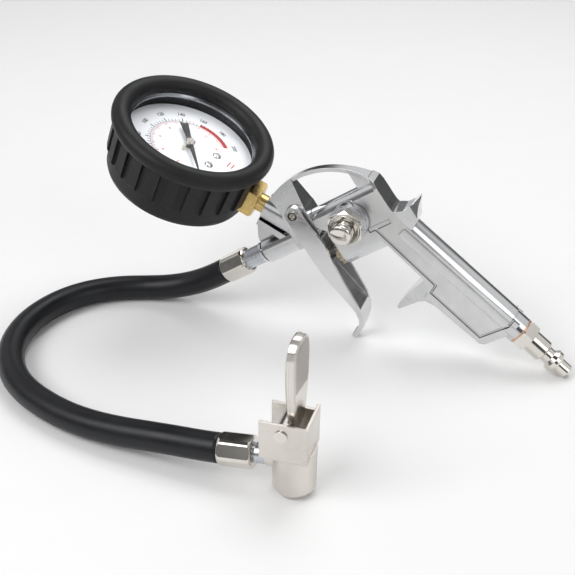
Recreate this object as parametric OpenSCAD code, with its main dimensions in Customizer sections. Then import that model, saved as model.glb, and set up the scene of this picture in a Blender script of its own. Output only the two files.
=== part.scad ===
// Tyre inflator with gauge, standing on trigger tip and inlet plug.
// The gun's own frame: X runs back along the barrel, Z up, Y across.

/* [Stance] */
// Angle of the barrel below level when the tool stands on a table
barrel_tilt = 34.85; // [30:0.05:38]
// Height of the body reference point above the table
stand_height = 61.9; // [60:0.1:66]

/* [Casting] */
// Thickness of the cast body and grip
body_t = 14; // [12:0.5:18]
// Radius of the round ridge along the top of the barrel
ridge_r = 5.6; // [4.5:0.1:6.5]
// Radius of the valve housing under the barrel
housing_r = 7; // [6:0.1:8]
// Radius of the hose boss
hose_boss_r = 6.8; // [6:0.1:8]
// Radius of the gauge boss
gauge_boss_r = 7; // [6:0.1:8]
// Radius of the inlet boss at the foot of the grip
inlet_boss_r = 7.5; // [7:0.1:9]
// Radius of the air tube along the back of the grip
grip_tube_r = 7.6; // [7.1:0.1:8.5]
// Outer radius of the hanging bow
bow_r = 44; // [42:0.5:46]
// Depth of the seam groove in the grip face
seam_depth = 0.5; // [0.3:0.1:0.8]

/* [Trigger] */
// Sheet thickness of the trigger channel
trigger_sheet = 1.4; // [1:0.1:2]
// Inside width of the trigger channel
trigger_inside = 16.4; // [15.8:0.1:18]
// Radius of the trigger pivot pin
trigger_pin_r = 2; // [1.5:0.1:2.5]

/* [Gauge] */
// Angle of the gauge stem above the barrel line
stem_angle = 58.3; // [50:0.1:70]
// Turn of the screwed-in gauge about its stem
stem_roll = 5; // [-10:0.5:10]
// Distance from the gauge boss mouth to the gauge axis
stem_reach = 49.7; // [48:0.1:56]
// Centre radius of the boot's rim roll
rim_r = 38.1; // [37:0.1:42]
// Radius of the rim roll itself
roll_r = 4.9; // [4:0.1:5.4]
// Radius of the boot barrel at its back
boot_r = 38; // [37.5:0.1:39]
// Radius of the boot over the grip ribs
rib_r = 40.6; // [39:0.1:42]
// Outer radius of the steel case
case_r = 36; // [35.5:0.1:36.5]
// Radius of the dial
dial_r = 34.7; // [33:0.1:34.8]
// Width across the flats of the brass stem
stem_af = 14; // [12:0.5:15]

/* [Fittings] */
// Width across the flats of the inlet plug's hexagon
plug_af = 14; // [13:0.5:17]
// Tip radius of the inlet plug
plug_tip_r = 3.95; // [3.8:0.01:4.1]
// Width across the flats of the bleed valve hexagon
relief_af = 17; // [14:0.5:19]
// Radius of the bleed button
button_r = 5.3; // [4:0.1:5.5]
// Outer diameter of the hose
hose_d = 13.5; // [12:0.5:14]

/* [Chuck] */
// Radius of the chuck's cup
cup_r = 9.6; // [9:0.1:11]
// Radius of the mouth that takes the tyre valve
mouth_r = 4.2; // [3.95:0.05:4.5]
// Height of the hose axis above the foot of the cup
port_z = 17.2; // [15:0.1:18]
// Length of the thumb lever above its pivot
lever_h = 44.3; // [40:0.1:48]

/* [Hidden] */
$fn = 64;
shift_x = 5.86;
shift_y = 1.52;
half = body_t / 2;
pivot = [-18.4, 21.8];
hose_v = 8.8;
valve_v = -8.7;
relief_c = [6.9, 6.4];
grip_o = [21.05, 7.04];
grip_a = 161.5;
boss_mouth = [-33.6, 30.7];
gauge_o = [boss_mouth[0] - stem_reach * cos(stem_angle), boss_mouth[1] + stem_reach * sin(stem_angle)];
rim_z = 18.2;
back_z = -14;
bezel_z = 16.2;
chuck_o = [20.6, -125.2];
chuck_yaw = 2;
port_dip = 6.3;
hose_start = [shift_x - 76.2 * cos(barrel_tilt) - hose_v * sin(barrel_tilt), shift_y, stand_height - 76.2 * sin(barrel_tilt) + hose_v * cos(barrel_tilt)];
hose_end = [chuck_o[0] - 34 * cos(port_dip) * cos(chuck_yaw), chuck_o[1] - 34 * cos(port_dip) * sin(chuck_yaw), port_z - 34 * sin(port_dip)];
lever_p = [-3.4, 34.3];
pad_x = 5.85;
pad_w = 8.7;
pad_turn = 5;
seal_r = case_r - 1;

// Hose route: straight out of the gun, down to the table, round to the chuck
route = [
  hose_start, [-70, 1.6, 19.8], [-79, 1.6, 14.6], [-88.5, 1.2, 10.6], [-99.5, -0.6, 8],
  [-110.8, -3.4, 6.9], [-121.7, -8.1, 6.8], [-132, -15, 6.8], [-140.8, -24.4, 6.8], [-147.2, -36.5, 6.8],
  [-150.6, -50.1, 6.8], [-150.8, -64.2, 6.8], [-147.6, -78.3, 6.8], [-140.7, -91.7, 6.8],
  [-131, -103.1, 6.8], [-119, -111.7, 6.8], [-105, -118, 6.8], [-90.5, -122.3, 6.95], [-76, -124.9, 7.8],
  [-62, -126.1, 9], [-48.5, -126.3, 10.3], [-36, -126.3, 11.4], [-24.5, -126.5, 12.4], hose_end
];

// ---------- placing helpers ----------
module gun() translate([shift_x, shift_y, stand_height]) rotate([0, -barrel_tilt, 0]) children();
module at_gauge() gun() translate([gauge_o[0], 0, gauge_o[1]]) rotate([0, stem_angle, 0]) rotate([stem_roll, 0, 0]) children();
// the gauge case sits a little low on its stem
module at_case() at_gauge() translate([0, 0, -0.8]) children();
module at_grip() gun() translate([grip_o[0], 0, grip_o[1]]) rotate([0, grip_a, 0]) children();
module at_port() at_chuck() translate([0, 0, port_z]) rotate([0, -port_dip, 0]) children();
module at_chuck() translate([chuck_o[0], chuck_o[1], 0]) rotate([0, 0, chuck_yaw]) children();
// side outline given as [back, up], thickness across
module side(t) rotate([90, 0, 0]) translate([0, 0, -t / 2]) linear_extrude(t) children();
// outline seen from the front, [across, up], running back from u0 to u1
module front(u0, u1) translate([u0, 0, 0]) rotate([90, 0, 90]) linear_extrude(u1 - u0) children();
// outline seen from above, [back, across], from z0 to z1
module top(z0, z1) translate([0, 0, z0]) linear_extrude(z1 - z0) children();
module rod(u0, u1, v, r) translate([u0, 0, v]) rotate([0, 90, 0]) cylinder(h = u1 - u0, r = r);
module crossbar(u, v, y0, y1, r) translate([u, y0, v]) rotate([-90, 0, 0]) cylinder(h = y1 - y0, r = r);
module ring(ro, ri, h) difference() { cylinder(h = h, r = ro); translate([0, 0, -1]) cylinder(h = h + 2, r = ri); }
module hex(af, h) cylinder(h = h, d = af / cos(30), $fn = 6);

// ---------- swept wire and hose ----------
function unit(a) = a / norm(a);
function tangent(p, i) = unit(p[min(i + 1, len(p) - 1)] - p[max(i - 1, 0)]);
function ring_pts(c, t, r, n) =
  let (s = unit(cross(abs(t[2]) > 0.9 ? [1, 0, 0] : [0, 0, 1], t)), w = cross(t, s))
  [for (k = [0 : n - 1]) c + r * (cos(360 * k / n) * s + sin(360 * k / n) * w)];
module sweep(p, r, n, t0, t1) {
  m = len(p);
  pts = [for (i = [0 : m - 1]) each ring_pts(p[i], i == 0 ? t0 : i == m - 1 ? t1 : tangent(p, i), r, n)];
  faces = concat(
    [[for (k = [0 : n - 1]) k]],
    [[for (k = [n - 1 : -1 : 0]) (m - 1) * n + k]],
    [for (i = [0 : m - 2], k = [0 : n - 1]) each [
      [i * n + k, (i + 1) * n + k, (i + 1) * n + (k + 1) % n],
      [i * n + k, (i + 1) * n + (k + 1) % n, i * n + (k + 1) % n]]]);
  polyhedron(points = pts, faces = faces);
}
// coil spring of mean radius r standing on the plane, wire radius w
module coil(r, w, h, turns) {
  n = turns * 10;
  p = [for (i = [0 : n]) [r * cos(36 * i), r * sin(36 * i), w + (h - 2 * w) * i / n]];
  sweep(p, w, 6, unit([0, r * 36 * 3.1416 / 180, (h - 2 * w) / n]), unit([0, r * 36 * 3.1416 / 180, (h - 2 * w) / n]));
}

// ---------- casting ----------
slab = [[-12, 14.3], [27.6, 14.3], [28, 6], [28.4, 0], [31, -10], [55.4, -79], [47, -82], [34, -82],
        [32, -80.6], [20.6, -49.6], [19.2, -47], [22.4, -44], [24.3, -38.5], [17, -13.5], [16, -8.7],
        [-8, -8.7], [-8, 6.4], [-12, 10.4]];
neck = [[-27, 3.4], [-15, 3.4], [-12, 7], [-12, 22], [-27, 15]];
fan = [[-36, 34], [-34, 29.6], [-24, 12], [-12, 12], [-12.2, 42], [-34, 42]];
front_web = [[-49, 9], [-48.6, 13], [-47, 18.4], [-44, 23.4], [-40.6, 27], [-36, 28], [-24, 9]];
boss_rib = [[-41.6, 25.8], [-39, 27.4], [-29, 9.8], [-33, 9.8]];
tail = [[27.8, 4], [28.8, 0.8], [33, -0.8], [38, -0.5], [43.3, 1.2], [43, 0], [40.4, -2.6], [38.4, -5.4],
        [36.5, -9], [31, -12], [26, -2]];
spur = [[24.6, -37.6], [14, -41.4], [6, -44.6], [0.6, -47.6], [1, -48.9], [7, -48.7], [14, -48.2],
        [18, -49], [21.4, -52.4], [29, -48]];
seam = [[12, -1.2], [25, -1.2], [25, -3.9], [16.9, -3.9], [28.8, -43], [24.6, -45.6], [34.6, -76.6], [50, -76.6],
        [54.6, -74.4], [54.6, -75.8], [50.2, -78], [33.6, -78], [23, -45.2], [27.2, -42.5], [15.4, -3.9], [12, -3.9]];

module bow_ring(ro, ri) difference() {
  translate([-9, -6]) circle(r = ro, $fn = 160);
  translate([-9, -6]) circle(r = ri, $fn = 160);
}
module bow() {
  // flange over the top, narrowing to the front
  intersection() {
    side(body_t + 0.4) intersection() {
      bow_ring(bow_r, bow_r - 2);
      translate([-27, 15]) square([54.6, 40]);
    }
    top(-20, 60) polygon([[-40, -2], [-12, -2.1], [17, -2.6], [23, -3.6], [28, -5], [28, 5], [23, 3.6], [17, 2.6], [-12, 2.1], [-40, 2]]);
  }
  // web inside the back of the bow
  side(5) intersection() {
    translate([-9, -6]) circle(r = bow_r - 1, $fn = 160);
    polygon([[17.2, 10], [16.8, 40], [27.6, 40], [27.6, 10]]);
  }
  // back plate
  intersection() {
    side(body_t) polygon([[25.8, 12], [25.8, 21.5], [27.6, 18.4], [28, 6], [27.9, 4], [25.8, 4]]);
    front(20, 30) polygon([[-half, -5], [half, -5], [half, 15], [4.8, 22], [-4.8, 22], [-half, 15]]);
  }
}
module body_casting() color([0.80, 0.80, 0.81]) gun() difference() {
  union() {
    side(body_t) polygon(slab);
    side(body_t) polygon(neck);
    rod(-22, 26.5, 12.9, ridge_r);
    rod(-8, 17, valve_v, housing_r);
    // fan between the gauge boss and the bow, thinning to the top
    intersection() {
      side(body_t) intersection() {
        polygon(fan);
        translate([-9, -6]) circle(r = bow_r, $fn = 160);
      }
      front(-40, 0) polygon([[-half, 5], [half, 5], [half, 21], [2.2, 38.6], [-2.2, 38.6], [-half, 21]]);
    }
    side(3.2) polygon(front_web);
    side(11) polygon(boss_rib);
    // gauge boss and hose boss
    translate([boss_mouth[0], 0, boss_mouth[1]]) rotate([0, 180 - 90 + stem_angle, 0]) cylinder(h = 23, r = gauge_boss_r);
    rod(-47, -18, hose_v, hose_boss_r);
    rod(-50, -46, hose_v, 5.9);
    crossbar(pivot[0], pivot[1], -7.9, 7.9, 4.4);
    bow();
    // thumb web of the grip
    intersection() {
      side(body_t) polygon(tail);
      top(-20, 20) polygon([[20, -half], [30, -half], [37, -5], [44, -0.8], [44, 0.8], [37, 5], [30, half], [20, half]]);
    }
    // finger spur
    intersection() {
      side(body_t) polygon(spur);
      top(-60, -30) polygon([[30, -half], [22, -half], [16, -5], [8, -3], [0, -1.6], [0, 1.6], [8, 3], [16, 5], [22, half], [30, half]]);
    }
    // round air tube down the back of the grip, and the inlet boss
    translate([grip_o[0] + 0.4, 0, grip_o[1]]) rotate([0, grip_a, 0]) translate([0, 0, 18]) cylinder(h = 70, r = grip_tube_r);
    translate([grip_o[0], 0, grip_o[1]]) rotate([0, grip_a, 0]) translate([0, 0, 80]) cylinder(h = 16, r = inlet_boss_r);
    // mounting pad of the bleed valve
    crossbar(relief_c[0], relief_c[1], -half - 4.5, 0, 9.7);
  }
  // seam grooves in both faces
  for (s = [-1, 1]) translate([0, s * (half + 1 - seam_depth), 0]) side(2) polygon(seam);
  // bores
  translate([grip_o[0], 0, grip_o[1]]) rotate([0, grip_a, 0]) {
    translate([0, 0, 84]) cylinder(h = 13, r = 6.6);
    translate([0, 0, 14]) cylinder(h = 71, r = 3);
  }
  rod(-9, 18, valve_v, 5);
  rod(17, 25, valve_v, 1.6);
  rod(-51, -36, hose_v, 4.9);
  rod(-37, -14, hose_v, 2.4);
  translate([boss_mouth[0], 0, boss_mouth[1]]) rotate([0, 90 + stem_angle, 0]) {
    translate([0, 0, -1]) cylinder(h = 12, r = 4.9);
    cylinder(h = 25, r = 2);
  }
  crossbar(relief_c[0], relief_c[1], -half - 6, -1.6, 4.5);
  translate([relief_c[0], -2.4, valve_v]) cylinder(h = 12, r = 0.8);
  translate([-5.5, 0, valve_v]) cylinder(h = 20, r = 1.6);
  rod(-16, -4, hose_v, 1.6);
  crossbar(pivot[0], pivot[1], -9, 9, trigger_pin_r + 0.02);
  // ring groove behind the hose collar
  translate([-48.4, 0, hose_v]) rotate([0, 90, 0]) ring(7, 5.3, 0.8);
}

// ---------- trigger ----------
plate = [[-22.9, 21.8], [-22.9, 8], [-22.6, -4], [-22, -14], [-20.6, -22], [-19.1, -29], [-18.1, -35], [-17.4, -40.5],
         [-15.6, -40.5], [-14.8, -37], [-14.5, -29], [-14.1, -19], [-13.4, -10], [-12.4, -3], [-12.1, 2],
         [-12.8, 8], [-13.6, 15], [-13.9, 21.8]];
web = [[-22.7, 0], [-22.6, -4], [-22, -14], [-20.6, -22], [-19.1, -29], [-18.1, -35], [-17.4, -40.5],
       [-15.8, -40.5], [-16.7, -35], [-17.7, -29], [-19.2, -22], [-20.6, -14], [-21.2, -4], [-21.3, 0]];
tongue = [[-17.6, -39.5], [-18.6, -43.4], [-21, -46.6], [-25, -49.6], [-28.4, -51.6], [-30.2, -52.2], [-30, -54],
          [-28.6, -54.8], [-25.4, -52.9], [-21, -50], [-17.8, -46.6], [-16.2, -43], [-15.6, -39.5]];
trigger_out = trigger_inside / 2 + trigger_sheet;
module trigger() color([0.78, 0.79, 0.81]) gun() difference() {
  union() {
    difference() {
      side(2 * trigger_out) union() {
        polygon(plate);
        translate(pivot) circle(r = 4.5);
      }
      side(trigger_inside) difference() {
        translate([-40, -60]) square([50, 100]);
        polygon(web);
      }
    }
    intersection() {
      side(2 * trigger_out) union() { polygon(tongue); translate([-28.9, -53.23]) circle(r = 1.7); }
      front(-40, -10) polygon([[-trigger_out, -38], [trigger_out, -38], [trigger_out, -41.5], [7.6, -45.5],
        [5, -48.8], [3, -53], [2.4, -56], [-2.4, -56], [-3, -53], [-5, -48.8], [-7.6, -45.5], [-trigger_out, -41.5]]);
    }
  }
  crossbar(pivot[0], pivot[1], -12, 12, trigger_pin_r + 0.06);
}
module trigger_pin() color([0.72, 0.70, 0.66]) gun() difference() {
  union() {
    crossbar(pivot[0], pivot[1], -trigger_out - 0.1, trigger_out + 0.1, trigger_pin_r);
    for (s = [-1, 1]) crossbar(pivot[0], pivot[1], s > 0 ? trigger_out + 0.1 : -trigger_out - 0.9, s > 0 ? trigger_out + 0.9 : -trigger_out - 0.1, 2.7);
  }
  for (s = [-1, 1]) crossbar(pivot[0], pivot[1], s > 0 ? trigger_out - 1.5 : -trigger_out - 2, s > 0 ? trigger_out + 2 : -trigger_out + 1.5, 1.3);
}

// ---------- air valve behind the trigger ----------
module valve_stem() color([0.35, 0.35, 0.36]) gun() union() {
  rod(-19.05, 2, valve_v, 1.75);
  translate([-19.05, 0, valve_v]) sphere(r = 1.75);
  rod(2, 5.4, valve_v, 3.4);
  rod(5.4, 9.4, valve_v, 1.2);
}
module valve_seal() color([0.12, 0.12, 0.12]) gun() translate([0.5, 0, valve_v]) rotate([0, 90, 0]) ring(3.4, 1.8, 1.5);
module valve_spring() color([0.7, 0.7, 0.7]) gun() translate([10.6, 0, valve_v]) rotate([0, 90, 0]) coil(2.6, 0.45, 7.2, 4);
module valve_gland() color([0.80, 0.74, 0.60]) gun() difference() {
  union() {
    translate([-11.4, 0, valve_v]) rotate([0, 90, 0]) rotate([0, 0, 30]) hex(11, 3.4);
    rod(-8.6, -1, valve_v, 4.9);
  }
  rod(-13, 0, valve_v, 1.81);
}

// ---------- bleed valve ----------
module relief_washer() color([0.75, 0.74, 0.72]) gun() difference() {
  crossbar(relief_c[0], relief_c[1], -half - 6, -half - 4.5, 9.6);
  crossbar(relief_c[0], relief_c[1], -half - 7, -half - 3, 4.6);
}
module relief_body() color([0.80, 0.78, 0.74]) gun() difference() {
  union() {
    translate([relief_c[0], -half - 6, relief_c[1]]) rotate([90, 0, 0]) intersection() {
      hex(relief_af, 5.5);
      rotate_extrude() polygon([[0, 0], [9.2, 0], [9.9, 0.7], [9.9, 4.3], [8.2, 5.5], [0, 5.5]]);
    }
    crossbar(relief_c[0], relief_c[1], -half - 12.2, -half - 11, 7.4);
    crossbar(relief_c[0], relief_c[1], -half - 6.5, -3, 4.4);
  }
  crossbar(relief_c[0], relief_c[1], -half - 14, -half - 6.7, button_r + 0.3);
  crossbar(relief_c[0], relief_c[1], -half - 7, -2, 2.5);
}
module relief_button() color([0.84, 0.82, 0.78]) gun() translate([relief_c[0], 0, relief_c[1]]) rotate([90, 0, 0]) union() {
  translate([0, 0, half + 10.1]) rotate_extrude() polygon([[0, 0], [button_r, 0], [button_r, 8.3], [button_r - 0.5, 9], [2.6, 9.5], [0, 9.6]]);
  translate([0, 0, 4.4]) cylinder(h = half + 6, r = 1.4);
}
// conical disc spring under the button
module relief_spring() color([0.7, 0.7, 0.7]) gun() translate([relief_c[0], -half - 6.75, relief_c[1]]) rotate([90, 0, 0])
  rotate_extrude() polygon([[2, 0], [2.4, 0], [4.7, 0.5], [4.7, 0.75], [4.3, 0.75], [2, 0.25]]);
module relief_seal() color([0.12, 0.12, 0.12]) gun() translate([relief_c[0], -1.6, relief_c[1]]) rotate([90, 0, 0]) ring(4.45, 1.75, 1.4);

// ---------- air inlet plug ----------
module inlet_plug() color([0.80, 0.79, 0.76]) at_grip() difference() {
  union() {
    intersection() {
      translate([0, 0, 97]) hex(plug_af, 6);
      translate([0, 0, 97]) rotate_extrude() polygon([[0, 0], [7.4, 0], [8.2, 0.8], [8.2, 5.2], [7.4, 6], [0, 6]]);
    }
    translate([0, 0, 85]) cylinder(h = 12.5, r = 6.5);
    rotate_extrude() polygon([[0, 102], [5.95, 102], [5.95, 112.4], [5.4, 113], [4.2, 113], [4.2, 117],
      [5.95, 118.8], [5.95, 120.8], [5.2, 121.8], [plug_tip_r, 121.8], [plug_tip_r, 128.2], [plug_tip_r - 0.5, 128.7], [0, 128.7]]);
  }
  translate([0, 0, 80]) cylinder(h = 52, r = 2.6);
}
module inlet_washer() color([0.70, 0.45, 0.28]) at_grip() translate([0, 0, 96]) ring(7.3, 6.6, 1);

// ---------- gauge: local Z is the dial normal, local X points to the gun ----------
module gauge_stem() color([0.80, 0.62, 0.28]) at_gauge() difference() {
  union() {
    intersection() {
      translate([34.8, -stem_af / 2, -stem_af / 2]) cube([11, stem_af, stem_af]);
      translate([30, 0, 0]) rotate([0, 90, 0]) rotate_extrude() polygon([[0, 0], [9.9, 0], [9.9, 14.2], [8.6, 15.2], [0, 15.2]]);
    }
    translate([20, -stem_af / 2, -6]) cube([15.5, stem_af, 8.2]);
    rod(44, 59.6, 0, 4.85);
  }
  rod(24, 62, 0, 1.2);
  translate([24.7, 0, -3.5]) rotate([-90, 0, 0]) cylinder(h = 9, r = 1);
}
module boot_profile() difference() {
  union() {
    polygon([[0, back_z], [boot_r - 3, back_z], [boot_r - 0.9, back_z + 0.9], [boot_r, back_z + 3], [boot_r + 1, rim_z - 2], [0, rim_z - 2]]);
    translate([rim_r, rim_z]) circle(r = roll_r);
  }
  translate([-1, back_z + 2.4]) square([case_r + 1.1, bezel_z + 0.1 - back_z - 2.4]);
}
module gauge_boot() color([0.07, 0.07, 0.075]) at_case() difference() {
  union() {
    rotate_extrude($fn = 120) boot_profile();
    for (a = [0 : 15 : 345]) rotate([0, 0, a]) rotate([90, 0, 0]) translate([0, 0, -2.9]) linear_extrude(5.8)
      polygon([[37, back_z + 10], [boot_r + 0.9, back_z + 10], [boot_r + 1.9, back_z + 11.2], [rib_r, rim_z - 3.6], [rib_r, rim_z], [37, rim_z]]);
  }
  translate([30, -7.5, -6.7]) cube([20, 15, 15]);
}
module gauge_case() color([0.16, 0.16, 0.17]) at_case() difference() {
  translate([0, 0, back_z + 2.5]) cylinder(h = 11.9 - back_z, r = case_r);
  translate([0, 0, back_z + 3.5]) cylinder(h = 30, r = case_r - 1);
  translate([30, -7.1, -6.3]) cube([10, 14.2, 14.2]);
}
module gauge_bezel() color([0.35, 0.35, 0.37]) at_case() translate([0, 0, 14.4])
  rotate_extrude($fn = 120) polygon([[32.6, 0], [case_r, 0], [case_r, 1], [case_r - 0.8, 1.8], [33.6, 1.8], [32.6, 0.9]]);
module gauge_lens() color([0.85, 0.92, 0.95, 0.35]) at_case() translate([0, 0, 12.9]) cylinder(h = 1.5, r = seal_r, $fn = 120);
module lens_gasket() color([0.1, 0.1, 0.1]) at_case() translate([0, 0, 12.3]) ring(seal_r, 33.9, 0.6);
module dial_plate() color([0.93, 0.95, 0.97]) at_case() difference() {
  translate([0, 0, 7.1]) cylinder(h = 0.6, r = dial_r, $fn = 120);
  translate([0, 0, 6]) cylinder(h = 3, r = 1.6);
  for (s = [-1, 1]) translate([14.5, s * 5, 6]) cylinder(h = 3, r = 1.3);
}
module dial_screws() color([0.66, 0.66, 0.66]) at_case() for (s = [-1, 1]) translate([14.5, s * 5, 0]) difference() {
  union() {
    translate([0, 0, 4]) cylinder(h = 4, r = 1.2);
    translate([0, 0, 7.7]) rotate_extrude() polygon([[0, 0], [2.3, 0], [2.3, 0.4], [1.7, 1], [0, 1.1]]);
  }
  translate([-3, -0.3, 8.3]) cube([6, 0.6, 2]);
}
module stop_pin() color([0.66, 0.60, 0.45]) at_case() translate([-1.2, -4.6, 7.7]) cylinder(h = 2.1, r = 0.7);
// pointer resting a little above zero, near the 7:30 direction
module pointer() color([0.05, 0.05, 0.05]) at_case() rotate([0, 0, -51]) translate([0, 0, 10.2]) difference() {
  union() {
    linear_extrude(0.5) polygon([[-16.2, -2.3], [-15.2, 0], [-16.2, 2.3], [-6, 1.5], [0, 1.3], [8, 0.95], [22.8, 0.25], [22.8, -0.25], [8, -0.95], [0, -1.3], [-6, -1.5]]);
    cylinder(h = 0.5, r = 2.4);
  }
  translate([0, 0, -1]) cylinder(h = 3, r = 1.2);
}
module pointer_hub() color([0.78, 0.74, 0.64]) at_case() union() {
  translate([0, 0, 9]) cylinder(h = 2.4, r = 1.15);
  translate([0, 0, 10.7]) rotate_extrude() polygon([[0, 0], [2.6, 0], [2.6, 0.7], [2.1, 1.1], [0, 1.1]]);
  translate([0, 0, -6]) cylinder(h = 15.5, r = 0.75);
}
// gear work between the two plates
module pinion() color([0.80, 0.66, 0.34]) at_case() translate([0, 0, -2.2]) difference() {
  union() { cylinder(h = 2.4, r = 1.9); for (a = [0 : 45 : 315]) rotate([0, 0, a]) translate([1.2, -0.3, 0]) cube([1.2, 0.6, 2.4]); }
  translate([0, 0, -1]) cylinder(h = 5, r = 0.75);
}
module sector_gear() color([0.80, 0.66, 0.34]) at_case() translate([11, 0, -1.9]) rotate([0, 0, -33]) difference() {
  union() {
    cylinder(h = 1.6, r = 2.4);
    intersection() { cylinder(h = 1.6, r = 8.3); linear_extrude(1.6) polygon([[0, 0], [-12, -8.5], [-12, 8.5]]); }
    translate([0, -1, 0]) cube([4.4, 2, 1.6]);
  }
  translate([0, 0, -1]) cylinder(h = 4, r = 0.95);
}
module movement_plate(z0) difference() {
  translate([-4, -6, z0]) cube([22, 12, 1.4]);
  translate([0, 0, z0 - 1]) cylinder(h = 4, r = 0.8);
  for (y = [-4.6, 4.6], x = [-2.6, 16.6]) translate([x, y, z0 - 1]) cylinder(h = 4, r = 1);
}
module movement_plate_top() color([0.78, 0.66, 0.38]) at_case() movement_plate(2.6);
module movement_plate_back() color([0.78, 0.66, 0.38]) at_case() movement_plate(-6.8);
module movement_posts() color([0.70, 0.60, 0.36]) at_case() {
  for (y = [-4.6, 4.6], x = [-2.6, 16.6]) translate([x, y, back_z + 3.5]) cylinder(h = 14.5, r = 1);
  translate([11, 0, -5.4]) cylinder(h = 8, r = 0.9);
}
module bourdon_tube() color([0.76, 0.58, 0.30]) at_case() rotate([0, 0, 17]) translate([0, 0, -8.5])
  rotate_extrude(angle = 262, $fn = 120) translate([24, 0]) square([2.6, 8]);
module tube_link() color([0.70, 0.60, 0.36]) at_case() union() {
  translate([3.1, -25.1, -0.5]) cylinder(h = 1.9, r = 0.8);
  translate([3.1, -25.1, 0.4]) rotate([0, 0, 64.5]) translate([0, -0.6, 0]) cube([25.4, 1.2, 0.8]);
}
module hairspring() color([0.82, 0.74, 0.5]) at_case() translate([0, 0, 1.2]) { ring(3.4, 3.2, 0.4); translate([3.3, -0.15, 0]) cube([2, 0.3, 0.4]); }

// ---------- hose ends ----------
module crimp(l) intersection() {
  rotate([0, 0, 30]) hex(13.9, l);
  rotate_extrude() polygon([[0, 0], [6.5, 0], [7.3, 0.5], [7.5, 1.4], [7.5, l - 1.8], [7.1, l - 0.6], [6.2, l], [0, l]]);
}
module hose_stub() color([0.62, 0.64, 0.67]) gun() difference() {
  union() {
    rod(-60.5, -50, hose_v, 5.3);
    rod(-50, -37, hose_v, 4.85);
    rod(-75, -60.5, hose_v, 3.2);
  }
  rod(-76, -36, hose_v, 1.8);
}
module ferrule_gun() color([0.82, 0.80, 0.77]) gun() difference() {
  translate([-76.2, 0, hose_v]) rotate([0, 90, 0]) crimp(15.7);
  rod(-75.2, -60, hose_v, 3.25);
}
module hose() color([0.06, 0.06, 0.065])
  sweep(route, hose_d / 2, 12, [-cos(barrel_tilt), 0, -sin(barrel_tilt)], [cos(port_dip) * cos(chuck_yaw), cos(port_dip) * sin(chuck_yaw), sin(port_dip)]);
module ferrule_chuck() color([0.82, 0.80, 0.77]) at_port() difference() {
  translate([-17.9, 0, 0]) rotate([0, -90, 0]) crimp(16.1);
  rod(-33, -16, 0, 3.25);
}
module chuck_stub() color([0.62, 0.64, 0.67]) at_port() difference() {
  union() { rod(-32.5, -8.6, 0, 3.2); rod(-17, -12.2, 0, 4.6); }
  rod(-34, -7, 0, 1.6);
}

// ---------- clip-on chuck: local X away from the hose, mouth down ----------
wall = 1.4;
module chuck_body() color([0.84, 0.82, 0.78]) at_chuck() difference() {
  union() {
    rotate_extrude() polygon([[0, 0], [5.6, 0], [7.3, 0.6], [8.5, 1.7], [cup_r, 3.6], [cup_r, 23], [0, 23]]);
    translate([-13, -cup_r, 21.4]) cube([21, wall, 18.5]);
    translate([-13, cup_r - wall, 21.4]) cube([21, wall, 16.2]);
    translate([8 - wall, -cup_r, 21.4]) cube([wall, 2 * cup_r, 18.5]);
    translate([-7, -cup_r, 21.4]) cube([15, 2 * cup_r, 2.6]);
    translate([0, 0, port_z]) rotate([0, -port_dip, 0]) rod(-12, 0, 0, 5.2);
  }
  translate([0, 0, -1]) cylinder(h = 9.5, r = mouth_r);
  translate([0, 0, 7.9]) cylinder(h = 8.5, r = 6.3);
  translate([0, 0, 16]) cylinder(h = 12, r = 2.05);
  translate([0, 0, port_z]) rotate([0, -port_dip, 0]) {
    rod(-13, -8.4, 0, 3.25);
    rod(-9, -5, 0, 1.5);
  }
  crossbar(lever_p[0], lever_p[1], -12, 12, 2.04);
}
// leaf outline of the thumb lever with half width w, [across, up]
module leaf(w) polygon([[-w, lever_h - 12], [-w * 0.97, lever_h - 7.5], [-w * 0.84, lever_h - 3.9], [-w * 0.58, lever_h - 1.3],
  [-w * 0.28, lever_h - 0.2], [0, lever_h], [w * 0.28, lever_h - 0.2], [w * 0.58, lever_h - 1.3], [w * 0.84, lever_h - 3.9],
  [w * 0.97, lever_h - 7.5], [w, lever_h - 12], [w * 0.98, 26], [w * 0.92, 20], [w * 0.8, 14], [w * 0.68, 8.5], [w * 0.55, 3],
  [-w * 0.55, 3], [-w * 0.68, 8.5], [-w * 0.8, 14], [-w * 0.92, 20], [-w * 0.98, 26]]);
module leaf_slab(x, t, w) translate([x, 0, 0]) rotate([90, 0, 90]) linear_extrude(t) leaf(w);
module chuck_lever() color([0.82, 0.80, 0.77]) at_chuck() translate([lever_p[0], 0, lever_p[1]]) difference() {
  union() {
    // thumb pad: a leaf of sheet with its edge turned back and rolled
    rotate([0, 0, -pad_turn]) difference() {
      union() {
        leaf_slab(pad_x - 3.75, 1.2, pad_w);
        leaf_slab(pad_x - 2.6, 2, pad_w - 0.35);
        leaf_slab(pad_x - 0.65, 0.4, pad_w - 0.6);
        leaf_slab(pad_x - 0.3, 0.3, pad_w - 1);
      }
      translate([0, 0, -1.4]) leaf_slab(pad_x - 4, 2.9, pad_w - 1.5);
    }
    // neck bent up from the pivot barrel
    side(8.6) polygon([[-3, 1], [3, -1.6], [pad_x - 0.7, 2], [pad_x - 0.6, 9], [pad_x - 1.8, 9], [pad_x - 2.6, 5], [0.6, 3.2]]);
    rotate([-90, 0, 0]) translate([0, 0, -6.6]) cylinder(h = 13.2, r = 3.6);
    translate([-1, -4.2, -1]) cube([6, 8.4, 4]);
  }
  rotate([-90, 0, 0]) translate([0, 0, -10]) cylinder(h = 20, r = 2.06);
}
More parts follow.
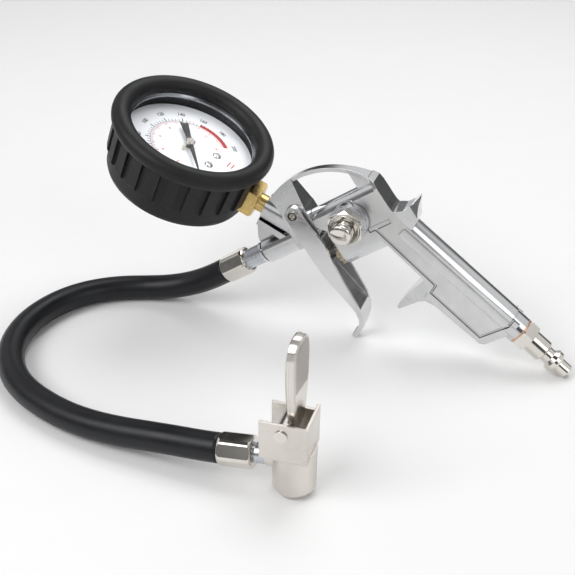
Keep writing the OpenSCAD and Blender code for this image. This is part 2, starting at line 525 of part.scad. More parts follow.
module lever_pin() color([0.80, 0.78, 0.74]) at_chuck() union() {
  crossbar(lever_p[0], lever_p[1], -cup_r - 0.2, cup_r + 0.2, 2);
  crossbar(lever_p[0], lever_p[1], -cup_r - 0.7, -cup_r - 0.05, 2.9);
  crossbar(lever_p[0], lever_p[1], cup_r + 0.05, cup_r + 0.7, 2.9);
}
module chuck_plunger() color([0.70, 0.68, 0.62]) at_chuck() union() {
  translate([0, 0, 10.6]) cylinder(h = 1.4, r = 5.6);
  translate([0, 0, 11.8]) cylinder(h = 15.8, r = 2);
  translate([0, 0, 8.1]) cylinder(h = 2.7, r = 1.1);
}
module chuck_seal() color([0.1, 0.1, 0.1]) at_chuck() translate([0, 0, 7.95]) ring(6.2, 2.2, 2.2);
// conical disc spring over the plunger
module chuck_spring() color([0.7, 0.7, 0.7]) at_chuck() translate([0, 0, 14.62])
  rotate_extrude() polygon([[5.6, 0], [6, 0], [6, 0.4], [2.8, 1.7], [2.4, 1.7], [2.4, 1.3]]);

body_casting();
trigger();
trigger_pin();
valve_stem();
valve_seal();
valve_spring();
valve_gland();
relief_washer();
relief_body();
relief_button();
relief_spring();
relief_seal();
inlet_plug();
inlet_washer();
gauge_stem();
gauge_boot();
gauge_case();
gauge_bezel();
gauge_lens();
lens_gasket();
dial_plate();
dial_screws();
stop_pin();
pointer();
pointer_hub();
pinion();
sector_gear();
movement_plate_top();
movement_plate_back();
movement_posts();
bourdon_tube();
tube_link();
hairspring();
hose_stub();
ferrule_gun();
hose();
ferrule_chuck();
chuck_stub();
chuck_body();
chuck_lever();
lever_pin();
chuck_plunger();
chuck_seal();
chuck_spring();
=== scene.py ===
import math

import bpy
import numpy as np
from mathutils import Matrix, Vector


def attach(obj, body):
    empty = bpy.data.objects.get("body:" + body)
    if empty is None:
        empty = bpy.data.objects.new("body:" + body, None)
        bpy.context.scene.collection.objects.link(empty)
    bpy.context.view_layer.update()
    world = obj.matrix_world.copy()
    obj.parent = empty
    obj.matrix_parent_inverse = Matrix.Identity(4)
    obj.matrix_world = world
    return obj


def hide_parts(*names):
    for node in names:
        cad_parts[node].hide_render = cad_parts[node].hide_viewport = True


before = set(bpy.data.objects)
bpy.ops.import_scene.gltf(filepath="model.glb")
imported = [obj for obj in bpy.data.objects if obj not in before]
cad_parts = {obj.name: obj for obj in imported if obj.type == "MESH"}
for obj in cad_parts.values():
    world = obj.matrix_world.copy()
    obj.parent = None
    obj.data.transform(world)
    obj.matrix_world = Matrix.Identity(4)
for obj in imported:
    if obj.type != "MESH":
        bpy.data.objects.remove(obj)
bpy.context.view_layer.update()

MM = 0.001
scene = bpy.context.scene
scene.view_settings.view_transform = "Standard"

# Places shared with the CAD, in mm and degrees
GUN_PLACE = Vector((5.86, 1.52, 61.9))
BARREL_TILT = math.radians(34.85)
GUN = Matrix.Translation(GUN_PLACE * MM) @ Matrix.Rotation(-BARREL_TILT, 4, "Y")
CHUCK_PLACE = Vector((20.6, -125.2, 0))
CHUCK_YAW = math.radians(2)
PORT_DIP = math.radians(6.3)
LEVER_PIVOT = Vector((-3.4, 0, 34.3))
PAD_X = 5.85
PAD_TURN = math.radians(5)
# The gauge: mouth of its boss, angle and turn of its stem, and the case's drop on the stem
BOSS_MOUTH = Vector((-33.6, 0, 30.7))
STEM_ANGLE = math.radians(58.3)
STEM_ROLL = math.radians(5)
STEM_REACH = 49.7
CASE_DROP = 0.8
# The dial: printed clock angle of zero, and degrees for each unit of the two scales
DIAL_TOP = 7.7
DIAL_ZERO = 225
OUTER_STEP = 1.35
INNER_STEP = 19.58


# ---------- camera ----------
def make_camera():
    """The photograph's view: aimed down on the gun's side, from a stand-off measured from the gun."""
    pivot = GUN_PLACE * MM
    stand_off = Vector((122.9, -446.8, 233.2)) * MM
    turn, tip = math.radians(19.3), math.radians(30)
    right = Vector((math.cos(turn), math.sin(turn), 0))
    away = Vector((-math.sin(turn), math.cos(turn), 0))
    z = Vector((0, 0, 1))
    up = away * math.sin(tip) + z * math.cos(tip)
    back = away * -math.cos(tip) + z * math.sin(tip)
    roll = Matrix.Rotation(math.radians(-0.85), 3, "Y")
    data = bpy.data.cameras.new("camera")
    data.lens, data.sensor_width = 63.8, 36
    data.clip_start, data.clip_end = 0.01, 20
    cam = bpy.data.objects.new("camera", data)
    scene.collection.objects.link(cam)
    axes = Matrix((roll @ right, roll @ up, roll @ back)).transposed()
    place = pivot + roll @ stand_off
    cam.matrix_world = Matrix.Translation(place) @ axes.to_4x4()
    scene.camera = cam


make_camera()


# ---------- small helpers ----------
def new_piece(name, verts, faces, body, smooth=True):
    mesh = bpy.data.meshes.new(name)
    mesh.from_pydata([tuple(v) for v in verts], [], faces)
    mesh.update()
    o = bpy.data.objects.new(name, mesh)
    scene.collection.objects.link(o)
    if smooth:
        mesh.shade_smooth()
    if body:
        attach(o, body)
    return o


class Tree:
    """A material's node tree, with one Principled shader."""

    def __init__(self, name, color, metallic=0.0, rough=0.5, **sockets):
        self.mat = bpy.data.materials.new(name)
        self.mat.use_nodes = True
        self.mat.diffuse_color = (*color, 1)
        self.nt = self.mat.node_tree
        self.nt.nodes.clear()
        self.out = self.nt.nodes.new("ShaderNodeOutputMaterial")
        self.sh = self.add("ShaderNodeBsdfPrincipled")
        self.link(self.sh.outputs[0], self.out.inputs["Surface"])
        self.sh.inputs["Base Color"].default_value = (*color, 1)
        self.sh.inputs["Metallic"].default_value = metallic
        self.sh.inputs["Roughness"].default_value = rough
        for k, v in sockets.items():
            self.sh.inputs[k.replace("_", " ")].default_value = v
        self.place = self.add("ShaderNodeTexCoord").outputs["Object"]

    def add(self, kind, **props):
        n = self.nt.nodes.new(kind)
        for k, v in props.items():
            setattr(n, k, v)
        return n

    def link(self, a, b):
        self.nt.links.new(a, b)

    def scaled(self, scale, vector=None, rot=(0, 0, 0)):
        m = self.add("ShaderNodeMapping")
        m.inputs["Scale"].default_value = scale
        m.inputs["Rotation"].default_value = rot
        self.link(vector or self.place, m.inputs["Vector"])
        return m.outputs[0]

    def noise(self, scale, detail=4.0, rough=0.55, vector=None):
        n = self.add("ShaderNodeTexNoise")
        n.inputs["Scale"].default_value = scale
        n.inputs["Detail"].default_value = detail
        n.inputs["Roughness"].default_value = rough
        self.link(vector or self.place, n.inputs["Vector"])
        return n.outputs[0]

    def ramp(self, fac, stops, mode="LINEAR"):
        r = self.add("ShaderNodeValToRGB")
        r.color_ramp.interpolation = mode
        e = r.color_ramp.elements
        while len(e) < len(stops):
            e.new(0.5)
        for i, (at, c) in enumerate(stops):
            e[i].position = at
            e[i].color = (c, c, c, 1) if isinstance(c, (int, float)) else (*c, 1)
        self.link(fac, r.inputs[0])
        return r.outputs[0]

    def span(self, fac, lo, hi, a=0.3, b=0.7):
        m = self.add("ShaderNodeMapRange")
        for k, v in zip(("From Min", "From Max", "To Min", "To Max"), (a, b, lo, hi)):
            m.inputs[k].default_value = v
        self.link(fac, m.inputs["Value"])
        return m.outputs[0]

    def mix(self, fac, a, b):
        m = self.add("ShaderNodeMix", data_type="RGBA")
        self.link(fac, m.inputs[0])
        for s, v in ((m.inputs[6], a), (m.inputs[7], b)):
            if isinstance(v, tuple):
                s.default_value = (*v, 1)
            else:
                self.link(v, s)
        return m.outputs[2]

    def blendf(self, fac, a, b):
        m = self.add("ShaderNodeMix", data_type="FLOAT")
        self.link(fac, m.inputs[0])
        for s, v in ((m.inputs[2], a), (m.inputs[3], b)):
            if isinstance(v, (int, float)):
                s.default_value = v
            else:
                self.link(v, s)
        return m.outputs[0]

    def maths(self, op, a, b=0.0):
        m = self.add("ShaderNodeMath", operation=op)
        for s, v in ((m.inputs[0], a), (m.inputs[1], b)):
            if isinstance(v, (int, float)):
                s.default_value = v
            else:
                self.link(v, s)
        return m.outputs[0]

    def soften(self, radius):
        """Rounded edges, in metres."""
        b = self.add("ShaderNodeBevel", samples=6)
        b.inputs["Radius"].default_value = radius
        return b.outputs[0]

    def bump(self, height, strength, distance, normal=None):
        b = self.add("ShaderNodeBump")
        b.inputs["Strength"].default_value = strength
        b.inputs["Distance"].default_value = distance
        self.link(height, b.inputs["Height"])
        if normal:
            self.link(normal, b.inputs["Normal"])
        return b.outputs[0]

    def color(self, socket):
        self.link(socket, self.sh.inputs["Base Color"])

    def rough(self, socket):
        self.link(socket, self.sh.inputs["Roughness"])

    def normal(self, socket):
        self.link(socket, self.sh.inputs["Normal"])


def tinted(c, k):
    return tuple(min(1.0, x * k) for x in c)


def plated(name, color, lo, hi, edge=0.0003, streak=(40, 40, 900), bump=0.04):
    """Plated or polished metal: faint clouding, fine streaks and rounded edges."""
    t = Tree(name, color, 1.0, (lo + hi) / 2)
    cloud = t.noise(70, 5)
    t.color(t.ramp(cloud, [(0.3, tinted(color, 0.93)), (0.7, tinted(color, 1.04))]))
    fine = t.noise(1.0, 3, vector=t.scaled(streak))
    t.rough(t.span(t.maths("MULTIPLY", t.maths("ADD", cloud, fine), 0.5), lo, hi))
    t.normal(t.bump(fine, bump, 0.0001, t.soften(edge)))
    return t.mat


def knurled(name, color, groove, reach):
    """Plated metal with painted shade in its grooves, from ambient occlusion; reach is the groove's width in
    metres.
    """
    t = Tree(name, color, 1.0, 0.24)
    depth = t.add("ShaderNodeAmbientOcclusion", samples=12, only_local=True)
    depth.inputs["Distance"].default_value = reach
    cloud = t.noise(70, 5)
    shown = t.ramp(cloud, [(0.3, tinted(color, 0.93)), (0.7, tinted(color, 1.04))])
    # Painted shade: ambient occlusion blends the grooves toward the dark groove colour
    t.color(t.mix(t.span(depth.outputs["AO"], 0, 1, 0.45, 0.98), groove, shown))
    t.rough(t.span(cloud, 0.18, 0.30))
    return t.mat


def cast_metal():
    """Die-cast aluminium: the flat sides satin with a fine grain, the round parts polished, with painted
    shade in the corners.
    """
    color = (0.70, 0.705, 0.72)
    t = Tree("cast_aluminium", color, 1.0, 0.2)
    face = t.add("ShaderNodeSeparateXYZ")
    t.link(t.add("ShaderNodeTexCoord").outputs["Normal"], face.inputs[0])
    flat = t.span(t.maths("ABSOLUTE", face.outputs["Y"]), 0, 1, 0.93, 0.99)
    cloud = t.noise(55, 6, 0.6)
    grain = t.noise(1300, 3, 0.6)
    shown = t.mix(
        flat,
        t.ramp(cloud, [(0.3, tinted(color, 0.95)), (0.7, tinted(color, 1.04))]),
        t.ramp(cloud, [(0.3, (0.62, 0.62, 0.625)), (0.7, (0.74, 0.74, 0.74))]),
    )
    # Painted shade: ambient occlusion darkens corners and the cast groove toward dark grey
    corner = t.add("ShaderNodeAmbientOcclusion", samples=8, only_local=True)
    corner.inputs["Distance"].default_value = 0.0011
    t.color(t.mix(t.span(corner.outputs["AO"], 0, 1, 0.35, 0.95), (0.16, 0.16, 0.17), shown))
    brushed = t.noise(1.0, 4, vector=t.scaled((60, 900, 60), rot=(0, -0.6, 0)))
    t.rough(t.blendf(flat, t.span(brushed, 0.07, 0.19), t.span(cloud, 0.30, 0.44)))
    soft = t.soften(0.00035)
    fine = t.bump(brushed, 0.06, 0.0001, soft)
    height = t.maths("MULTIPLY", grain, flat)
    t.normal(t.bump(height, 0.22, 0.0002, fine))
    return t.mat


def rubber(name, color, lo, hi, grain, depth, edge=0.0006, streak=None):
    t = Tree(name, color, 0.0, (lo + hi) / 2, Specular_IOR_Level=0.35)
    cloud = t.noise(60, 5)
    t.color(t.ramp(cloud, [(0.3, tinted(color, 0.8)), (0.7, tinted(color, 1.35))]))
    t.rough(t.span(cloud, lo, hi))
    fine = t.noise(grain, 3)
    nrm = t.soften(edge) if edge else None
    if streak:
        nrm = t.bump(t.noise(1.0, 2, vector=t.scaled(*streak)), 0.25, 0.0002, nrm)
    t.normal(t.bump(fine, 0.3, depth, nrm))
    return t.mat


def brass_metal(name, color, lo, hi):
    t = Tree(name, color, 1.0, (lo + hi) / 2)
    cloud = t.noise(180, 5, 0.6)
    t.color(t.ramp(cloud, [(0.3, tinted(color, 0.9)), (0.55, color), (0.75, tinted(color, 1.1))]))
    cut = t.noise(1.0, 3, vector=t.scaled((200, 1500, 200)))
    t.rough(t.span(cut, lo, hi))
    t.normal(t.bump(cut, 0.05, 0.0001, t.soften(0.0003)))
    return t.mat


def dial_paint():
    color = (0.93, 0.95, 0.985)
    t = Tree("dial_white", color, 0.0, 0.42)
    n = t.noise(500, 3)
    t.color(t.ramp(n, [(0.3, tinted(color, 0.985)), (0.7, tinted(color, 1.01))]))
    t.rough(t.span(n, 0.36, 0.5))
    t.normal(t.bump(n, 0.03, 0.0001))
    return t.mat


def ink(name, color):
    t = Tree(name, color, 0.0, 0.5)
    n = t.noise(900, 2)
    t.color(t.ramp(n, [(0.3, tinted(color, 0.85)), (0.7, tinted(color, 1.15))]))
    t.rough(t.span(n, 0.4, 0.6))
    return t.mat


def clear_lens():
    t = Tree("lens_clear", (1, 1, 1), 0.0, 0.02, Transmission_Weight=1.0, IOR=1.2)
    n = t.noise(300, 2)
    t.rough(t.span(n, 0.0, 0.03))
    return t.mat


MATS = {
    "cast": cast_metal(),
    "trigger": plated("polished_trigger", (0.72, 0.72, 0.725), 0.16, 0.28, 0.0003),
    "nickel": plated("bright_nickel", (0.74, 0.71, 0.66), 0.06, 0.16, 0.0003),
    "satin": plated("satin_nickel", (0.70, 0.665, 0.62), 0.24, 0.36, 0.0004, (60, 60, 700)),
    "lever": plated("lever_nickel", (0.72, 0.685, 0.64), 0.12, 0.24, 0.0012),
    # The knurl's dark groove colour is painted shade
    "knurl": knurled("knurled_nickel", (0.66, 0.625, 0.58), (0.10, 0.095, 0.09), 0.0009),
    "zinc": plated("zinc_plate", (0.56, 0.58, 0.62), 0.20, 0.34, 0.0003, (900, 60, 60), 0.1),
    "steel": plated("turned_steel", (0.62, 0.62, 0.63), 0.18, 0.32, 0.0002),
    "dark_steel": plated("dark_steel", (0.20, 0.20, 0.21), 0.22, 0.36, 0.0002),
    "brass": brass_metal("turned_brass", (0.74, 0.54, 0.22), 0.2, 0.36),
    "gland": brass_metal("gland_brass", (0.72, 0.64, 0.46), 0.2, 0.34),
    "movement": brass_metal("movement_brass", (0.76, 0.60, 0.30), 0.25, 0.4),
    "copper": brass_metal("copper_washer", (0.72, 0.42, 0.28), 0.3, 0.45),
    "case": plated("case_black", (0.035, 0.036, 0.038), 0.3, 0.42, 0.0002),
    "bezel": plated("bezel_steel", (0.30, 0.31, 0.33), 0.12, 0.22, 0.0002),
    "boot": rubber("boot_rubber", (0.008, 0.0083, 0.009), 0.42, 0.56, 2200, 0.00012),
    "hose": rubber("hose_rubber", (0.008, 0.0085, 0.011), 0.32, 0.44, 1800, 0.0001, 0.0, ((500, 500, 500),)),
    "seal": rubber("seal_rubber", (0.02, 0.02, 0.02), 0.5, 0.6, 2000, 0.00005),
    "dial": dial_paint(),
    "black_ink": ink("black_ink", (0.008, 0.008, 0.012)),
    "red_ink": ink("red_ink", (0.55, 0.035, 0.03)),
    "dark_red_ink": ink("dark_red_ink", (0.42, 0.012, 0.014)),
    "pointer": ink("pointer_black", (0.006, 0.006, 0.007)),
    "lens": clear_lens(),
    # Painted shade for the dark strips in the corners of the grip's seam groove
    "painted_seam_shade": ink("seam_shade_paint", (0.10, 0.10, 0.105)),
}
FINISH = {
    "cast": "body_casting",
    "trigger": "trigger",
    "nickel": (
        "trigger_pin relief_body relief_button inlet_plug ferrule_gun ferrule_chuck "
        "lever_pin pointer_hub"
    ),
    "satin": "chuck_body",
    "lever": "chuck_lever",
    "zinc": "hose_stub chuck_stub relief_washer",
    "steel": "valve_spring relief_spring chuck_spring dial_screws chuck_plunger",
    "dark_steel": "valve_stem",
    "brass": "gauge_stem",
    "gland": "valve_gland stop_pin",
    "movement": (
        "pinion sector_gear movement_plate_top movement_plate_back movement_posts "
        "bourdon_tube tube_link hairspring"
    ),
    "copper": "inlet_washer",
    "case": "gauge_case",
    "bezel": "gauge_bezel",
    "boot": "gauge_boot",
    "seal": "valve_seal relief_seal lens_gasket chuck_seal",
    "dial": "dial_plate",
    "pointer": "pointer",
    "lens": "gauge_lens",
}
for finish, nodes in FINISH.items():
    for n in nodes.split():
        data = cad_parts[n].data
        for i in range(max(1, len(data.materials))):
            if i < len(data.materials):
                data.materials[i] = MATS[finish]
            else:
                data.materials.append(MATS[finish])


# ---------- hose ----------
ROUTE = [
    (-61.703, 1.52, 25.579), (-70, 1.6, 19.8), (-79, 1.6, 14.6), (-88.5, 1.2, 10.6), (-99.5, -0.6, 8),
    (-110.8, -3.4, 6.9), (-121.7, -8.1, 6.8), (-132, -15, 6.8), (-140.8, -24.4, 6.8), (-147.2, -36.5, 6.8),
    (-150.6, -50.1, 6.8), (-150.8, -64.2, 6.8), (-147.6, -78.3, 6.8), (-140.7, -91.7, 6.8),
    (-131, -103.1, 6.8), (-119, -111.7, 6.8), (-105, -118, 6.8), (-90.5, -122.3, 6.95), (-76, -124.9, 7.8),
    (-62, -126.1, 9), (-48.5, -126.3, 10.3), (-36, -126.3, 11.4), (-24.5, -126.5, 12.4),
    (-13.174, -126.379, 13.469),
]
HOSE_R = 6.75 * MM


def hose_line():
    """A smooth curve through the route's points, and its direction at each end."""
    p = np.array(ROUTE) * MM
    t = np.empty_like(p)
    t[1:-1] = p[2:] - p[:-2]
    t[0] = (-math.cos(BARREL_TILT), 0, -math.sin(BARREL_TILT))
    level = math.cos(PORT_DIP)
    t[-1] = (level * math.cos(CHUCK_YAW), level * math.sin(CHUCK_YAW), math.sin(PORT_DIP))
    t /= np.linalg.norm(t, axis=1)[:, None]
    line = []
    for i in range(len(p) - 1):
        d = np.linalg.norm(p[i + 1] - p[i])
        for s in np.linspace(0, 1, 8, endpoint=False):
            h = (2 * s**3 - 3 * s**2 + 1, s**3 - 2 * s**2 + s, -2 * s**3 + 3 * s**2, s**3 - s**2)
            line.append(h[0] * p[i] + h[1] * d * t[i] + h[2] * p[i + 1] + h[3] * d * t[i + 1])
    line.append(p[-1])
    return np.array(line), t[0], t[-1]


def make_hose():
    """The hose as one tube swept along its line."""
    line, first, last = hose_line()
    tangent = np.gradient(line, axis=0)
    tangent[0], tangent[-1] = first, last
    tangent /= np.linalg.norm(tangent, axis=1)[:, None]
    sides = 40
    side = np.cross(tangent[0], (0, 0, 1))
    verts, faces = [], []
    for c, t in zip(line, tangent):
        side = side - t * (side @ t)
        side /= np.linalg.norm(side)
        other = np.cross(t, side)
        for k in range(sides):
            a = 2 * math.pi * k / sides
            verts.append(c + HOSE_R * (math.cos(a) * side + math.sin(a) * other))
    for i in range(len(line) - 1):
        for k in range(sides):
            n = (k + 1) % sides
            a, b = i * sides, (i + 1) * sides
            faces.append((a + k, a + n, b + n, b + k))
    faces.append(tuple(range(sides - 1, -1, -1)))
    faces.append(tuple((len(line) - 1) * sides + k for k in range(sides)))
    o = new_piece("hose_tube", verts, faces, "inflator")
    o.data.materials.append(MATS["hose"])
    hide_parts("hose")
    length = float(np.linalg.norm(np.diff(line, axis=0), axis=1).sum())
    return o, line, length


hose, hose_path, hose_length = make_hose()


# ---------- dial print ----------
gauge_axis = BOSS_MOUTH + STEM_REACH * Vector((-math.cos(STEM_ANGLE), 0, math.sin(STEM_ANGLE)))
STEM = Matrix.Rotation(STEM_ANGLE, 4, "Y") @ Matrix.Rotation(STEM_ROLL, 4, "X")
CASE = GUN @ Matrix.Translation(gauge_axis * MM) @ STEM @ Matrix.Translation((0, 0, -CASE_DROP * MM))


def clock(angle, r):
    """Point on the dial, in mm: angle clockwise from twelve."""
    a = math.radians(angle)
    return Vector((-math.cos(a) * r, math.sin(a) * r, 0))


class Print:
    """Flat marks on the dial, each a thin closed plate."""

    def __init__(self, base):
        self.verts, self.faces, self.base = [], [], base

    def plate(self, points, thick=0.03):
        n, s = len(points), len(self.verts)
        area = sum(
            points[i].x * points[(i + 1) % n].y - points[(i + 1) % n].x * points[i].y for i in range(n)
        )
        if area < 0:
            points = points[::-1]
        for h in (self.base, self.base + thick):
            self.verts += [CASE @ (Vector((p.x, p.y, h)) * MM) for p in points]
        self.faces.append(tuple(range(s + n - 1, s - 1, -1)))
        self.faces.append(tuple(range(s + n, s + 2 * n)))
        for i in range(n):
            j = (i + 1) % n
            self.faces.append((s + i, s + j, s + n + j, s + n + i))

    def tick(self, angle, r0, r1, width):
        u = clock(angle + 90, 1)
        a, b = clock(angle, r0), clock(angle, r1)
        h = u * (width / 2)
        self.plate([a - h, a + h, b + h, b - h])

    def arc(self, a0, a1, r0, r1, steps):
        for i in range(steps):
            s, e = (a0 + (a1 - a0) * (i + k) / steps for k in (0, 1))
            self.plate([clock(s, r0), clock(e, r0), clock(e, r1), clock(s, r1)])

    def text(self, words, angle, r, size, spread=1.0):
        data = bpy.data.curves.new("words", "FONT")
        data.body, data.size = words, size
        data.align_x, data.align_y = "CENTER", "CENTER"
        data.extrude, data.resolution_u = 0.015, 3
        data.offset = 0.018 * size
        o = bpy.data.objects.new("words", data)
        scene.collection.objects.link(o)
        bpy.context.view_layer.update()
        mesh = bpy.data.meshes.new_from_object(o.evaluated_get(bpy.context.evaluated_depsgraph_get()))
        up, right = clock(angle, 1), clock(angle + 90, 1)
        at = clock(angle, r)
        s = len(self.verts)
        for v in mesh.vertices:
            p = at + right * (v.co.x * spread) + up * v.co.y
            self.verts.append(CASE @ (Vector((p.x, p.y, self.base + 0.015 + v.co.z)) * MM))
        for f in mesh.polygons:
            self.faces.append(tuple(s + i for i in f.vertices))
        bpy.data.objects.remove(o)
        bpy.data.curves.remove(data)
        bpy.data.meshes.remove(mesh)

    def piece(self, name, mat, slot):
        o = new_piece(name, self.verts, self.faces, "inflator", smooth=False)
        o.data.materials.append(MATS[mat])
        return o


def psi(n):
    """Clock angle of a reading on the outer scale."""
    return DIAL_ZERO + OUTER_STEP * n


def bar(n):
    """Clock angle of a reading on the inner scale."""
    return DIAL_ZERO + INNER_STEP * n


def make_dial_print():
    """Two scales with their numbers, the red band, and two dashes in place of unit words."""
    black, red, arc = Print(DIAL_TOP + 0.02), Print(DIAL_TOP + 0.02), Print(DIAL_TOP + 0.03)
    black.arc(psi(0), psi(160), 20.22, 20.42, 80)
    for n in range(0, 161, 4):
        long = n % 20 == 0
        black.tick(psi(n), 20.3, 23.0 if long else 22.0, 0.55 if long else 0.3)
    for n in range(164, 200, 4):
        black.tick(psi(n), 22.5, 23.1, 0.2)
    for n in range(0, 201, 20):
        black.text(str(n), psi(n), 26.3, 3.3, 0.86)
    red.arc(bar(0), bar(13.79), 19.5, 19.64, 80)
    for k in range(0, 139, 2):
        long = k % 10 == 0
        red.tick(bar(k / 10), 17.9 if long else 18.6, 19.6, 0.42 if long else 0.22)
    for n in range(0, 15, 2):
        red.text(str(n), bar(min(n, 13.9)), 15.4, 2.5, 0.86)
    arc.arc(psi(160), psi(200), 20.2, 22.6, 30)
    for r, half in ((22.2, 2.4), (24.6, 2.1)):
        red.plate([Vector((r - 0.35, 4 - half, 0)), Vector((r - 0.35, 4 + half, 0)),
                   Vector((r + 0.35, 4 + half, 0)), Vector((r + 0.35, 4 - half, 0))])
    black.piece("dial_scale", "black_ink", "pointer_black")
    red.piece("dial_inner_scale", "red_ink", "dial_white")
    arc.piece("dial_red_band", "dark_red_ink", "dial_white")


make_dial_print()


# ---------- gun details ----------
HALF_BODY = 7.0
SEAM_DEPTH = 0.5
# The seam groove's outline, in the gun's own frame: back and up
SEAM = [
    (12, -1.2), (25, -1.2), (25, -3.9), (16.9, -3.9), (28.8, -43), (24.6, -45.6), (34.6, -76.6), (50, -76.6),
    (54.6, -74.4), (54.6, -75.8), (50.2, -78), (33.6, -78), (23, -45.2), (27.2, -42.5), (15.4, -3.9),
    (12, -3.9),
]


def revolve(name, profile, place, body, steps=96):
    """A closed turned piece: profile is (radius, height) in mm, starting and ending on the axis."""
    verts, faces, rings = [], [], []
    for r, h in profile:
        if r == 0:
            rings.append([len(verts)] * steps)
            verts.append(place @ (Vector((0, 0, h)) * MM))
        else:
            rings.append(list(range(len(verts), len(verts) + steps)))
            for k in range(steps):
                a = 2 * math.pi * k / steps
                verts.append(place @ (Vector((r * math.cos(a), r * math.sin(a), h)) * MM))
    for lower, upper in zip(rings, rings[1:]):
        for k in range(steps):
            n = (k + 1) % steps
            ring = dict.fromkeys((lower[k], lower[n], upper[n], upper[k]))
            if len(ring) > 2:
                faces.append(tuple(ring))
    o = new_piece(name, verts, faces, body)
    o.data.set_sharp_from_angle(angle=math.radians(40))
    return o


def make_button():
    """The bleed button with a smooth domed end, on the bleed valve's axis."""
    out = Matrix.Translation(Vector((6.9, 0, 6.4)) * MM) @ Matrix.Rotation(math.radians(90), 4, "X")
    dome = [
        (5.3, 24.9), (5.24, 25.3), (5.05, 25.65), (4.7, 25.95), (4.1, 26.2),
        (3.2, 26.42), (2.1, 26.58), (1.0, 26.67), (0, 26.7),
    ]
    profile = [(0, 4.4), (1.4, 4.4), (1.4, 17.1), (5.0, 17.1), (5.3, 17.4)] + dome
    o = revolve("bleed_button_dome", profile, GUN @ out, "bleed_button")
    o.data.materials.append(MATS["nickel"])
    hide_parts("relief_button")


def make_seam_shadow():
    """Painted shade: thin dark strips in the corners of the cast groove on each side of the grip."""
    edges = list(zip(SEAM, SEAM[1:] + SEAM[:1]))
    area = sum(a[0] * b[1] - b[0] * a[1] for a, b in edges)
    turn = 1 if area > 0 else -1
    verts, faces = [], []
    groove_y, thick, wide = HALF_BODY - SEAM_DEPTH, 0.04, 0.3
    for side in (-1, 1):
        for a, b in edges:
            a, b = Vector(a), Vector(b)
            d = (b - a).normalized()
            n = Vector((-d.y, d.x)) * turn * wide
            quad = [a, b, b + n, a + n]
            s = len(verts)
            for y in (groove_y - 0.02, groove_y + thick):
                verts += [GUN @ (Vector((q.x, side * y, q.y)) * MM) for q in quad]
            faces += [(s, s + 3, s + 2, s + 1), (s + 4, s + 5, s + 6, s + 7)]
            faces += [(s + i, s + (i + 1) % 4, s + 4 + (i + 1) % 4, s + 4 + i) for i in range(4)]
    o = new_piece("seam_shadow", verts, faces, "inflator", smooth=False)
    o.data.materials.append(MATS["painted_seam_shade"])


make_button()
make_seam_shadow()
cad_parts["gauge_lens"].visible_shadow = False


# ---------- knurled pad of the thumb lever ----------
def make_knurl():
    """Crossed ridges on the upper part of the pad's front face."""
    foot = Matrix.Translation(CHUCK_PLACE * MM) @ Matrix.Rotation(CHUCK_YAW, 4, "Z")
    foot = foot @ Matrix.Translation(LEVER_PIVOT * MM) @ Matrix.Rotation(-PAD_TURN, 4, "Z")
    # Half width of the pad at heights above the pivot
    outline = [(20, 6.6), (26, 7.1), (32.3, 7.3), (36.8, 7.05), (40.4, 5.9), (42, 4.4), (42.6, 3.2)]
    heights, halves = zip(*outline)
    z0, z1 = heights[0], heights[-1]
    rows, cols = 150, 96
    pitch, tall = 1.25, 0.3
    verts, faces = [], []

    def ridge(v):
        """Saw wave from 0 to 1, once each pitch."""
        return 1 - abs((v % 1.0) - 0.5) * 2

    for i in range(rows + 1):
        z = z0 + (z1 - z0) * i / rows
        w = float(np.interp(z, heights, halves))
        for j in range(cols + 1):
            y = w * (2 * j / cols - 1)
            edge = i in (0, rows) or j in (0, cols)
            crossed = min(ridge((y + z) / pitch), ridge((y - z) / pitch))
            lift = -0.1 if edge else 0.02 + tall * crossed
            verts.append(foot @ (Vector((PAD_X + lift, y, z)) * MM))
    for i in range(rows):
        for j in range(cols):
            a = i * (cols + 1) + j
            faces.append((a, a + 1, a + cols + 2, a + cols + 1))
    o = new_piece("lever_knurl", verts, faces, "lever_body", smooth=False)
    o.data.materials.append(MATS["knurl"])
    return o


knurl = make_knurl()


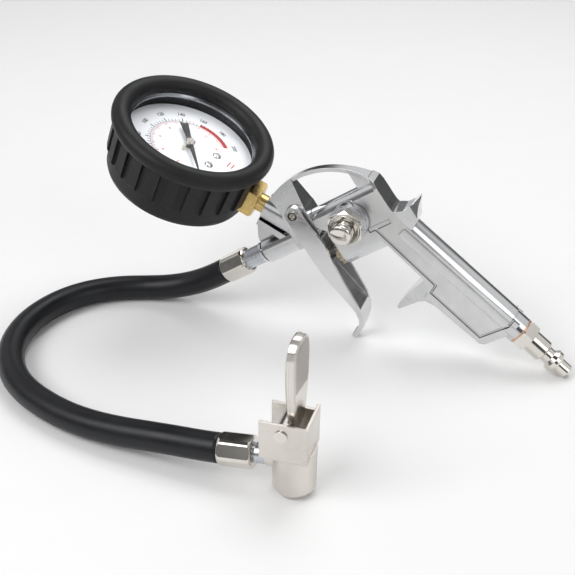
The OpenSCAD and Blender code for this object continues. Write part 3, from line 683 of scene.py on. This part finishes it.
# ---------- studio ----------
def make_studio():
    """A pale floor, a white backdrop with soft bands for the metal to reflect, and three lamps."""
    reach = 6.0
    corners = [(-reach, -reach, 0), (reach, -reach, 0), (reach, reach, 0), (-reach, reach, 0)]
    floor = new_piece("floor", corners, [(0, 1, 2, 3)], None)
    t = Tree("floor_paper", (0.86, 0.86, 0.86), 0.0, 0.8, Specular_IOR_Level=0.1)
    n = t.noise(40, 2)
    t.color(t.ramp(n, [(0.3, 0.945), (0.7, 0.955)]))
    floor.data.materials.append(t.mat)

    world = bpy.data.worlds.new("studio")
    scene.world = world
    world.use_nodes = True
    nt = world.node_tree
    nt.nodes.clear()
    out = nt.nodes.new("ShaderNodeOutputWorld")
    direction = nt.nodes.new("ShaderNodeTexCoord").outputs["Generated"]
    xyz = nt.nodes.new("ShaderNodeSeparateXYZ")
    nt.links.new(direction, xyz.inputs[0])

    def ramp(socket, stops):
        m = nt.nodes.new("ShaderNodeMapRange")
        m.inputs["From Min"].default_value, m.inputs["From Max"].default_value = -1, 1
        nt.links.new(socket, m.inputs["Value"])
        r = nt.nodes.new("ShaderNodeValToRGB")
        e = r.color_ramp.elements
        while len(e) < len(stops):
            e.new(0.5)
        for i, (at, v) in enumerate(stops):
            e[i].position, e[i].color = (at + 1) / 2, (v, v, v, 1)
        nt.links.new(m.outputs[0], r.inputs[0])
        return r.outputs[0]

    # Bright and dark bands that polished metal shows: by height, then across
    by_height = [
        (-1, 0.8), (0, 0.6), (0.04, 0.3), (0.2, 0.17), (0.3, 0.4),
        (0.42, 1.0), (0.66, 0.95), (0.76, 0.12), (0.9, 0.18), (1, 0.9),
    ]
    by_side = [
        (-1, 0.9), (-0.62, 1.0), (-0.52, 0.35), (-0.4, 0.45), (-0.3, 1.0),
        (0.25, 1.0), (0.38, 0.4), (0.55, 0.5), (0.66, 1.0), (1, 0.9),
    ]
    height = ramp(xyz.outputs["Z"], by_height)
    across = ramp(xyz.outputs["X"], by_side)
    m = nt.nodes.new("ShaderNodeMix")
    m.data_type, m.blend_type = "RGBA", "MULTIPLY"
    m.inputs[0].default_value = 1
    nt.links.new(height, m.inputs[6])
    nt.links.new(across, m.inputs[7])
    soft = nt.nodes.new("ShaderNodeBackground")
    soft.inputs["Strength"].default_value = 0.8
    nt.links.new(m.outputs[2], soft.inputs["Color"])
    plain = nt.nodes.new("ShaderNodeBackground")
    plain.inputs["Color"].default_value = (1, 1, 1, 1)
    plain.inputs["Strength"].default_value = 1.0
    path = nt.nodes.new("ShaderNodeLightPath")
    mix = nt.nodes.new("ShaderNodeMixShader")
    nt.links.new(path.outputs["Is Camera Ray"], mix.inputs[0])
    nt.links.new(soft.outputs[0], mix.inputs[1])
    nt.links.new(plain.outputs[0], mix.inputs[2])
    nt.links.new(mix.outputs[0], out.inputs["Surface"])

    def lamp(name, place, aim, size, power):
        data = bpy.data.lights.new(name, "AREA")
        data.shape, data.size, data.size_y = "RECTANGLE", size[0], size[1]
        data.energy = power
        o = bpy.data.objects.new(name, data)
        scene.collection.objects.link(o)
        o.location = place
        o.rotation_euler = (Vector(aim) - Vector(place)).to_track_quat("-Z", "Y").to_euler()

    lamp("key", (-0.55, -0.75, 0.95), (-0.02, -0.04, 0.05), (0.9, 0.6), 7.5)
    lamp("fill", (0.9, -0.55, 0.55), (0, -0.02, 0.05), (0.5, 0.8), 1.6)
    lamp("top", (0.1, 0.5, 1.1), (0, 0, 0.04), (1.0, 0.7), 6.2)


make_studio()
